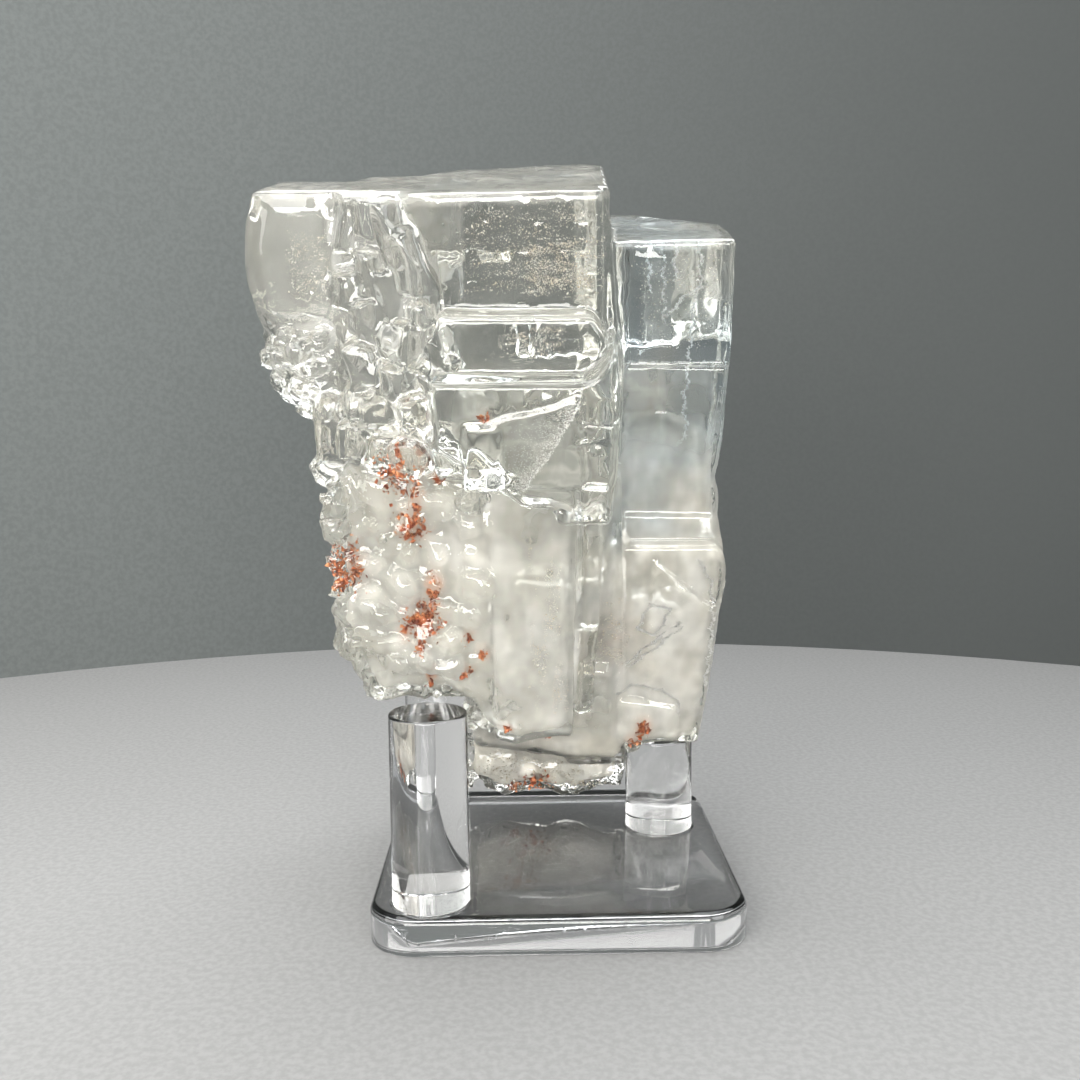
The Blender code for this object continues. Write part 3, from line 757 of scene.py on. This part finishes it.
def bitsMesh(name, spots, sizes, seed, material):
    # one mesh of small irregular eight-sided bits: sizes holds three half lengths for each
    rng = np.random.default_rng(seed)
    count = len(spots)
    unit = np.array([[1, 0, 0], [-1, 0, 0], [0, 1, 0], [0, -1, 0], [0, 0, 1], [0, 0, -1]], float)
    sides = np.array([[0, 2, 4], [2, 1, 4], [1, 3, 4], [3, 0, 4], [2, 0, 5], [1, 2, 5], [3, 1, 5], [0, 3, 5]])
    corners = unit[None] * rng.uniform(0.6, 1.25, (count, 6, 1)) * sizes[:, None, :]
    turn = rng.normal(size=(count, 4))
    turn /= np.linalg.norm(turn, axis=1)[:, None]
    a, b, c, d = turn.T
    spin = np.stack([
        np.stack([1 - 2 * (c * c + d * d), 2 * (b * c - a * d), 2 * (b * d + a * c)], 1),
        np.stack([2 * (b * c + a * d), 1 - 2 * (b * b + d * d), 2 * (c * d - a * b)], 1),
        np.stack([2 * (b * d - a * c), 2 * (c * d + a * b), 1 - 2 * (b * b + c * c)], 1)], 1)
    corners = np.einsum("nij,nkj->nki", spin, corners) + spots[:, None, :]
    faces = (sides[None] + 6 * np.arange(count)[:, None, None]).reshape(-1, 3)
    mesh = bpy.data.meshes.new(name)
    mesh.from_pydata(toWorld(corners.reshape(-1, 3)).tolist(), [], faces.tolist())
    obj = linked(name, mesh)
    mesh.materials.append(material)
    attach(obj, "root")
    return obj


def speckMaterial(name, light, deep, rough):
    made, tree, shader = newMaterial(name)
    tint = placed(tree, tintDrift, Light_Tint=(*light, 1), Deep_Tint=(*deep, 1),
                  Scale=600.0, Low=0.35, High=0.62)
    tree.links.new(tint.outputs["Color"], shader.inputs["Base Color"])
    dulled = rangeNode(tree, tint.outputs["Mask"], 0.0, 1.0, rough, rough + 0.25)
    tree.links.new(dulled, shader.inputs["Roughness"])
    setInputs(shader, Metallic=0.0)
    addBump(tree, shader, tint.outputs["Mask"], 0.3, 0.0001)
    return made


creamSpeck = speckMaterial("creamSpeck", (0.96, 0.94, 0.88), (0.70, 0.61, 0.48), 0.2)
whiteSpark = speckMaterial("whiteSpark", (0.98, 0.98, 0.97), (0.86, 0.86, 0.84), 0.12)
rust = speckMaterial("rustFleck", (0.42, 0.11, 0.035), (0.18, 0.035, 0.012), 0.45)
paleRust = speckMaterial("paleRust", (0.66, 0.27, 0.12), (0.45, 0.13, 0.05), 0.5)

# cream clouds: name, u, depth behind the skin, w, streak size, how many, bit size, share kept
clouds = (
    ("mainCloud", (-12, 9.2), (1.0, 9.0), (44.8, 58.4), (7.0, 4.0, 1.3), 9000, 0.055, 0.46),
    ("denseCloud", (-3, 8.6), (0.8, 5.0), (44.8, 53.6), (4.0, 3.0, 1.0), 12000, 0.055, 0.50),
    ("tierCloud", (-6.0, 4.6), (0.6, 3.0), (37.4, 42.6), (2.5, 2.0, 1.0), 4200, 0.05, 0.50),
    ("leftCloud", (-37, -31), (1.0, 5.0), (44.0, 55.0), (3.5, 3.0, 1.2), 2200, 0.05, 0.42),
    ("prismCloud", (-3.4, 3.2), (0.12, 0.8), (-24.0, 9.0), (1.8, 3.0, 7.0), 4600, 0.055, 0.46),
    ("rightCloud", (12.5, 29.0), (0.8, 7.0), (31.0, 49.0), (3.0, 3.0, 6.0), 3200, 0.05, 0.42),
    ("hollowCloud", (5.4, 14.0), (0.15, 1.5), (-24.0, -8.0), (3.0, 3.0, 2.5), 2600, 0.08, 0.50),
    ("keelCloud", (-17.0, 12.0), (0.15, 1.2), (-58.0, -46.0), (4.0, 3.0, 2.0), 5200, 0.11, 0.46),
)


def buildClouds():
    for number, (name, u, depth, w, streak, count, size, keep) in enumerate(clouds):
        rng = np.random.default_rng(500 + number)
        spots = np.stack([rng.uniform(*u, count), rng.uniform(*depth, count), rng.uniform(*w, count)], 1)
        density = layered(spots / np.array(streak), 60 + number) + 0.5
        centre, half = [np.mean(u), np.mean(w)], [np.ptp(u) / 2, np.ptp(w) / 2]
        outward = np.abs((spots[:, [0, 2]] - centre) / half).max(axis=1)
        spots = spots[density - 0.35 * ramp(outward, 0.6, 1.0) > keep]      # thinner at the edges
        kept = []
        for spot in spots:
            skinAt = frontDepth(spot[0], spot[2])
            if skinAt is not None:
                kept.append((spot[0], skinAt + spot[1], spot[2]))
        kept = np.array(kept)
        sizes = size * rng.lognormal(0, 0.45, (len(kept), 1)) * rng.uniform(0.4, 1.3, (len(kept), 3))
        bitsMesh(name, kept, np.minimum(sizes, 0.4), 700 + number, creamSpeck)
        print(name, len(kept), "bits")


buildClouds()


# sparkling plane of the healed fracture, with a veil of fine bits on its left
fracture = {
    "line": ((6.1, 34.4), (5.6, 32.2), (3.5, 28.6), (1.3, 24.9), (-1.0, 21.9), (-2.2, 19.6)),
    "sparks": 620,
    "sparkSize": (0.11, 0.11, 0.03),
    "deepest": 5.0,
    "lean": 0.25,               # how far the plane runs left for each mm of depth
    "veil": 3200,
    "veilSize": (0.05, 0.05, 0.03),
    "veilReach": 2.2,
    "veilRise": 0.35,
    "veilLeft": -6.5,
    "veilTop": 32.5,
}
veins = {"width": 0.13, "size": (0.07, 0.07, 0.16), "depthSpread": 0.15}
# depth behind the skin, how many bits, then the points
veinLines = (
    (1.6, 900, ((24.2, 49.9), (24.6, 43.7), (23.6, 40.5), (23.3, 34.0),
                (22.9, 27.3), (22.5, 23.8), (23.1, 18.6), (21.3, 16.8))),
    (1.6, 300, ((18.5, 50.0), (18.7, 44.0), (18.9, 37.3))),
    (1.6, 300, ((24.6, 42.9), (21.8, 41.0), (19.1, 38.1))),
    (1.6, 260, ((16.2, 49.9), (16.5, 42.0))),
    (1.6, 200, ((20.4, 49.8), (20.5, 44.0))),
    (0.5, 900, ((17.4, -11.1), (20.8, -12.0), (18.4, -17.2), (15.1, -16.2), (17.4, -11.1))),
    (0.5, 500, ((13.0, -23.6), (17.5, -19.0), (22.6, -14.5))),
    (0.5, 500, ((13.2, -24.4), (18.0, -20.0), (23.0, -15.4))),
    (0.5, 260, ((12.2, 30.8), (29.4, 30.7))),
    (0.5, 700, ((25.5, -3.0), (27.6, -6.5), (28.2, -12.0), (28.0, -20.0), (27.2, -27.5))),
    (0.5, 500, ((11.8, -29.0), (14.0, -27.6), (19.5, -28.2), (22.4, -30.4), (23.0, -34.0))),
)


def pathSpots(line, count, rng, wide):
    line = np.array(line)
    legs = np.linalg.norm(np.diff(line, axis=0), axis=1)
    upTo = np.concatenate([[0], np.cumsum(legs)])
    at = rng.uniform(0, upTo[-1], count)
    u = np.interp(at, upTo, line[:, 0]) + rng.normal(0, wide, count)
    w = np.interp(at, upTo, line[:, 1]) + rng.normal(0, wide, count)
    return u, w


def buildFracture():
    rng = np.random.default_rng(81)
    count = fracture["sparks"]
    u, w = pathSpots(fracture["line"], count, rng, 0.10)
    behind = 0.4 + rng.uniform(0, 1, count) ** 3 * fracture["deepest"]
    u = u - behind * fracture["lean"]
    spots, sizes = [], []
    for a, b, c in zip(u, behind, w):
        skinAt = frontDepth(a, c)
        if skinAt is not None:
            spots.append((a, skinAt + b, c))
            sizes.append(np.array(fracture["sparkSize"]) * rng.uniform(0.4, 1.6))
    bitsMesh("fractureSparks", np.array(spots), np.array(sizes), 82, whiteSpark)
    count = fracture["veil"]
    u, w = pathSpots(fracture["line"], count, rng, 0.2)
    left = rng.exponential(fracture["veilReach"], count)
    spots, sizes = [], []
    for a, c, off in zip(u - left, w, left):
        if a < fracture["veilLeft"] or c > fracture["veilTop"]:
            continue
        height = c - off * fracture["veilRise"]
        skinAt = frontDepth(a, height)
        if skinAt is not None:
            spots.append((a, skinAt + rng.uniform(0.5, 2.6), height))
            sizes.append(np.array(fracture["veilSize"]) * rng.uniform(0.5, 1.5))
    bitsMesh("fractureVeil", np.array(spots), np.array(sizes), 83, whiteSpark)


def buildVeins():
    rng = np.random.default_rng(91)
    spots, sizes = [], []
    for number, (depth, count, line) in enumerate(veinLines):
        u, w = pathSpots(line, count, rng, veins["width"])
        for a, c in zip(u, w):
            skinAt = frontDepth(a, c)
            if skinAt is None:
                continue
            sway = 0.25 * math.sin(c * 1.9 + number) + 0.12 * math.sin(c * 5.3)
            behind = depth + abs(rng.normal(0, veins["depthSpread"] * depth))
            spots.append((a + sway, skinAt + behind, c))
            sizes.append(np.array(veins["size"]) * rng.uniform(0.5, 1.6))
    bitsMesh("whiteVeins", np.array(spots), np.array(sizes), 92, whiteSpark)


buildFracture()
buildVeins()


flecks = {
    "least": 26,                # bits in every cluster, and more by its area
    "byArea": 34,
    "deepest": 0.6,
    "darkShare": 0.45,
    "darkSize": (0.34, 0.26, 0.09),
    "paleSize": (0.32, 0.24, 0.08),
}


def buildRust():
    rng = np.random.default_rng(17)
    darkSpots, darkSizes, paleSpots, paleSizes = [], [], [], []
    for number, (u, w, wide, tall, strong) in enumerate(rustClusters):
        count = int(flecks["least"] + flecks["byArea"] * wide * tall * strong)
        for _ in range(count):
            a, c = rng.normal(0, 0.3, 2)
            spot = np.array([u + a * wide, 0.0, w + c * tall])
            streaky = ripple(spot[None] / np.array([1.1, 1.0, 1.6]), 200 + number)[0]
            if streaky < -0.08:
                continue
            skinAt = frontDepth(spot[0], spot[2])
            if skinAt is None:
                continue
            place = (spot[0], skinAt + rng.uniform(0.03, flecks["deepest"]), spot[2])
            if rng.random() < flecks["darkShare"] * strong:
                darkSpots.append(place)
                darkSizes.append(np.array(flecks["darkSize"]) * min(rng.lognormal(-0.25, 0.55), 2.0))
            else:
                paleSpots.append(place)
                paleSizes.append(np.array(flecks["paleSize"]) * min(rng.lognormal(-0.3, 0.5), 1.9))
    bitsMesh("rustFlecks", np.array(darkSpots), np.array(darkSizes), 18, rust)
    bitsMesh("paleRustFlecks", np.array(paleSpots), np.array(paleSizes), 19, paleRust)
    print("rust flecks", len(darkSpots) + len(paleSpots))


buildRust()


# ---- the stand
acrylicLook = {
    "lightTint": (0.985, 0.985, 0.985, 1),
    "deepTint": (0.965, 0.97, 0.98, 1),
    "ior": 1.49,
    "dustScale": 1200.0,
    "scratchScale": 120.0,
    "scratchStretch": 40.0,
    "wornRoughness": 0.4,
}


def acrylicMaterial(name, dustAmount, scratchAmount):
    made, tree, shader = newMaterial(name)
    tint = placed(tree, tintDrift, Light_Tint=acrylicLook["lightTint"],
                  Deep_Tint=acrylicLook["deepTint"], Scale=30.0)
    dust = placed(tree, surfaceDust, Scale=acrylicLook["dustScale"], Amount=dustAmount)
    scratch = placed(tree, hairScratch, Scale=acrylicLook["scratchScale"], Amount=scratchAmount,
                     Stretch=acrylicLook["scratchStretch"])
    tree.links.new(tint.outputs["Color"], shader.inputs["Base Color"])
    worn = mathNode(tree, "ADD", dust.outputs["Mask"], scratch.outputs["Mask"])
    rough = rangeNode(tree, worn, 0.02, 1.0, 0.0, acrylicLook["wornRoughness"])
    tree.links.new(rough, shader.inputs["Roughness"])
    setInputs(shader, Metallic=0.0, Transmission_Weight=1.0, IOR=acrylicLook["ior"])
    addBump(tree, shader, dust.outputs["Height"], 0.2, 0.00005)
    return made


plateAcrylic = acrylicMaterial("plateAcrylic", 0.35, 0.3)
pegAcrylic = acrylicMaterial("pegAcrylic", 0.12, 0.15)

plate = {
    "width": 61.8, "depth": 60.2, "thick": 6.25, "corner": 8.0,
    "topEdge": 1.4, "footEdge": 0.3, "cornerSteps": 20, "edgeSteps": 8,
}


def roundedRing(width, depth, corner, inset, z, steps):
    points = []
    for quarter, (right, back) in enumerate(((1, 1), (-1, 1), (-1, -1), (1, -1))):
        middle = Vector((right * (width / 2 - corner), back * (depth / 2 - corner)))
        for step in range(steps + 1):
            angle = (quarter + step / steps) * math.pi / 2
            spot = middle + (corner - inset) * Vector((math.cos(angle), math.sin(angle)))
            points.append((spot.x * mm, spot.y * mm, z * mm))
    return points


def skinned(name, rings, caps=True):
    bm = bmesh.new()
    rows = [[bm.verts.new(p) for p in ring] for ring in rings]
    for low, high in zip(rows, rows[1:]):
        for here in range(len(low)):
            there = (here + 1) % len(low)
            bm.faces.new((low[here], low[there], high[there], high[here]))
    if caps:
        bm.faces.new(list(reversed(rows[0])))
        bm.faces.new(rows[-1])
    bmesh.ops.recalc_face_normals(bm, faces=bm.faces)
    mesh = bpy.data.meshes.new(name)
    bm.to_mesh(mesh)
    bm.free()
    return linked(name, mesh)


def sharpCaps(obj, limit=35):
    # smooth sides with crisp borders at the flat caps
    smoothShaded(obj)
    obj.data.set_sharp_from_angle(angle=math.radians(limit))


def buildPlate():
    rings = []
    for step in range(4):
        angle = step / 3 * math.pi / 2
        edge = plate["footEdge"]
        rings.append((edge * (1 - math.sin(angle)), edge * (1 - math.cos(angle))))
    for step in range(plate["edgeSteps"] + 1):
        angle = step / plate["edgeSteps"] * math.pi / 2
        edge = plate["topEdge"]
        rings.append((edge * (1 - math.cos(angle)), plate["thick"] - edge * (1 - math.sin(angle))))
    made = [roundedRing(plate["width"], plate["depth"], plate["corner"], inset, z, plate["cornerSteps"])
            for inset, z in rings]
    obj = skinned("standPlate", made)
    sharpCaps(obj)
    obj.data.materials.append(plateAcrylic)
    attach(obj, "root")
    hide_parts("stand_plate")
    return obj


pegs = {
    "radius": 6.3, "edge": 0.45, "sides": 96, "gap": 0.3,
    "peg_front_left": ("pegFrontLeft", -20.8, -23.5, 31.6),
    "peg_back_left": ("pegBackLeft", -23.2, 23.2, 31.6),
    "peg_right": ("pegRight", 20.3, 8.3, 17.9),
}


def turnOf(side):
    return side / pegs["sides"] * 2 * math.pi


def aroundPeg(x, y, radius, angle, z):
    # a point at that angle round the peg's axis
    return (x + radius * math.cos(angle)) * mm, (y + radius * math.sin(angle)) * mm, z * mm


def buildPeg(node):
    name, x, y, tall = pegs[node]
    low, high = plate["thick"] + pegs["gap"], plate["thick"] + tall
    profile = [(pegs["radius"] - 0.15, low), (pegs["radius"], low + 0.15)]
    for step in range(7):
        angle = step / 6 * math.pi / 2
        edge = pegs["edge"]
        profile.append((pegs["radius"] - edge * (1 - math.cos(angle)), high - edge * (1 - math.sin(angle))))
    rings = []
    for radius, z in profile:
        rings.append([aroundPeg(x, y, radius, turnOf(side), z) for side in range(pegs["sides"])])
    obj = skinned(name, rings)
    sharpCaps(obj)
    obj.data.materials.append(pegAcrylic)
    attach(obj, "root")
    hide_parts(node)
    return obj


cement = {"thick": 0.17, "gap": 0.03, "sides": 8, "bubbles": 60}


def buildCement():
    # a thin uneven bead of clear cement round each foot, and small bubbles in the joint
    rng = np.random.default_rng(33)
    spots = []
    for number, node in enumerate(("peg_front_left", "peg_back_left", "peg_right")):
        x, y = pegs[node][1:3]
        rings = []
        for part in range(cement["sides"]):
            turn = part / cement["sides"] * 2 * math.pi
            ring = []
            for side in range(pegs["sides"]):
                angle = turnOf(side)
                thick = cement["thick"] * (1 + 0.3 * math.sin(3 * angle + x) + 0.2 * math.sin(8 * angle + y))
                reach = pegs["radius"] + cement["gap"] + thick * (1 + math.cos(turn))
                lift = plate["thick"] + cement["gap"] + thick * (1 + math.sin(turn))
                ring.append(aroundPeg(x, y, reach, angle, lift))
            rings.append(ring)
        bead = skinned(f"cementBead{number + 1}", rings + rings[:1], caps=False)
        weld = bmesh.new()
        weld.from_mesh(bead.data)
        bmesh.ops.remove_doubles(weld, verts=weld.verts, dist=1e-7)
        bmesh.ops.recalc_face_normals(weld, faces=weld.faces)
        weld.to_mesh(bead.data)
        weld.free()
        smoothShaded(bead)
        bead.data.materials.append(cementClear)
        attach(bead, "root")
        angle = rng.uniform(0, 2 * math.pi, cement["bubbles"])
        reach = pegs["radius"] * np.sqrt(rng.uniform(0.05, 0.8, cement["bubbles"]))
        spots.append(np.stack([x + reach * np.cos(angle), y + reach * np.sin(angle),
                               np.full(len(angle), plate["thick"] + pegs["gap"] / 2)], 1))
    spots = toLattice(np.concatenate(spots) * mm)
    sizes = np.array([0.13, 0.13, 0.13]) * rng.uniform(0.3, 0.8, (len(spots), 1))
    bitsMesh("cementBubbles", spots, sizes, 34, whiteSpark)


cementClear = acrylicMaterial("cementClear", 0.5, 0.1)
buildPlate()
buildCement()
for node in ("peg_front_left", "peg_back_left", "peg_right"):
    buildPeg(node)
print("stand built")


# ---- studio
studio = {
    "floorColour": (0.22, 0.22, 0.217),
    "wallColour": (0.112, 0.121, 0.119),
    # painted shade on the floor: its colour darkens towards the front, where the low softbox lights it most
    "floorPaintedShade": 0.30,
    # painted shade on the wall: its colour darkens towards the right, as if the light came only from the left
    "wallPaintedShade": 0.42,
    "floorShadeEnds": (-0.17, -0.36),     # metres along Y where the painted shade on the floor starts and ends: the front floor, lit brightest by the low softbox, is painted darker
    "floorDrop": 0.05,
    # metres along X where the wall's painted shade starts and ends
    "wallShadeEnds": (-0.3, 0.3),
    "wallCentre": -150,
    "wallRadius": 363,
    "wallHeight": 245,
    "wallSides": 96,
    # name, place, aim, size, power, colour
    "softboxes": (
        ("keySoftbox", (-250, -330, 310), (0, 0, 62), (300, 300), 2.1, (1.0, 0.985, 0.955)),
        ("fillSoftbox", (280, -280, 230), (0, 0, 62), (200, 260), 0.6, (0.93, 0.97, 1.0)),
        ("lowSoftbox", (-40, -430, 120), (0, 0, 30), (440, 180), 3.8, (1.0, 0.985, 0.955)),
        ("sideSoftbox", (-320, -110, 170), (0, 0, 50), (240, 280), 0.72, (1.0, 0.985, 0.96)),
        ("topSoftbox", (-40, 20, 480), (0, 0, 62), (420, 420), 2.9, (1.0, 1.0, 1.0)),
        ("rimSoftbox", (150, 230, 400), (0, 0, 62), (300, 240), 0.72, (0.95, 0.98, 1.0)),
    ),
    "skyLow": (0.13, 0.14, 0.14),
    "skyHigh": (0.60, 0.63, 0.65),
    "skyRise": (0.35, 0.85),
}


def paperMaterial(name, colour, grain, axis, ends, fade):
    # fade is painted shade: it darkens the paper's colour between the two ends along the axis, in place of
    # light that falls off across it
    made, tree, shader = newMaterial(name)
    deep = tuple(c * 0.86 for c in colour)
    tint = placed(tree, tintDrift, Light_Tint=(*colour, 1), Deep_Tint=(*deep, 1),
                  Scale=grain, Low=0.3, High=0.7)
    parts = tree.nodes.new("ShaderNodeSeparateXYZ")
    tree.links.new(tree.nodes.new("ShaderNodeTexCoord").outputs["Object"], parts.inputs["Vector"])
    # painted shade, from none at the first end to full at the second
    shadeRamp = rangeNode(tree, parts.outputs[axis], *ends, 0.0, 1.0)
    paintedShade = tuple(c * fade * 0.93 for c in colour)
    tree.links.new(colourMix(tree, shadeRamp, tint.outputs["Color"], paintedShade), shader.inputs["Base Color"])
    setInputs(shader, Roughness=0.9, Specular_IOR_Level=0.2)
    return made


def stageRing(radius, z):
    turns = [side / studio["wallSides"] * 2 * math.pi for side in range(studio["wallSides"])]
    return [(radius * math.cos(turn) * mm, (studio["wallCentre"] + radius * math.sin(turn)) * mm, z * mm)
            for turn in turns]


def buildStage():
    low, radius = -studio["floorDrop"], studio["wallRadius"]
    bm = bmesh.new()
    bm.faces.new([bm.verts.new(point) for point in stageRing(radius + 5, low)])
    mesh = bpy.data.meshes.new("floor")
    bm.to_mesh(mesh)
    bm.free()
    floor = linked("studioFloor", mesh)
    floor.data.materials.append(paperMaterial(
        "palePaper", studio["floorColour"], 900.0, "Y", studio["floorShadeEnds"], studio["floorPaintedShade"]))
    rings = [stageRing(radius, low), stageRing(radius, studio["wallHeight"])]
    wall = skinned("studioWall", rings, caps=False)
    wall.data.materials.append(paperMaterial(
        "greyPaper", studio["wallColour"], 700.0, "X", studio["wallShadeEnds"], studio["wallPaintedShade"]))
    smoothShaded(wall)
    wall.visible_shadow = False


def addSoftbox(name, place, target, size, power, colour):
    data = bpy.data.lights.new(name, "AREA")
    data.shape = "RECTANGLE"
    data.size, data.size_y = size[0] * mm, size[1] * mm
    data.energy = power
    data.color = colour
    obj = bpy.data.objects.new(name, data)
    bpy.context.scene.collection.objects.link(obj)
    spot = Vector(place) * mm
    aim = Vector(target) * mm - spot
    obj.matrix_world = Matrix.Translation(spot) @ aim.to_track_quat("-Z", "Y").to_matrix().to_4x4()
    obj.visible_camera = False


def addLights():
    for softbox in studio["softboxes"]:
        addSoftbox(*softbox)
    world = bpy.data.worlds.new("softSky")
    bpy.context.scene.world = world
    world.use_nodes = True
    tree = world.node_tree
    back = tree.nodes["Background"]
    way = tree.nodes.new("ShaderNodeTexCoord").outputs["Generated"]
    parts = tree.nodes.new("ShaderNodeSeparateXYZ")
    tree.links.new(way, parts.inputs["Vector"])
    rise = rangeNode(tree, parts.outputs["Z"], *studio["skyRise"], 0.0, 1.0)
    tree.links.new(colourMix(tree, rise, studio["skyLow"], studio["skyHigh"]), back.inputs["Color"])


buildStage()
addLights()
# bounces enough for light inside clear pieces, and no more
cycles = bpy.context.scene.cycles
cycles.max_bounces, cycles.glossy_bounces = 10, 5
cycles.transmission_bounces, cycles.transparent_max_bounces = 10, 8
cycles.diffuse_bounces = 1
cycles.caustics_reflective = False   # hardly seen here, and slow
cycles.light_sampling_threshold = 0.05
cycles.use_light_tree = False        # six lights need no tree
bpy.context.scene.view_settings.view_transform = "Standard"
print("studio lit")
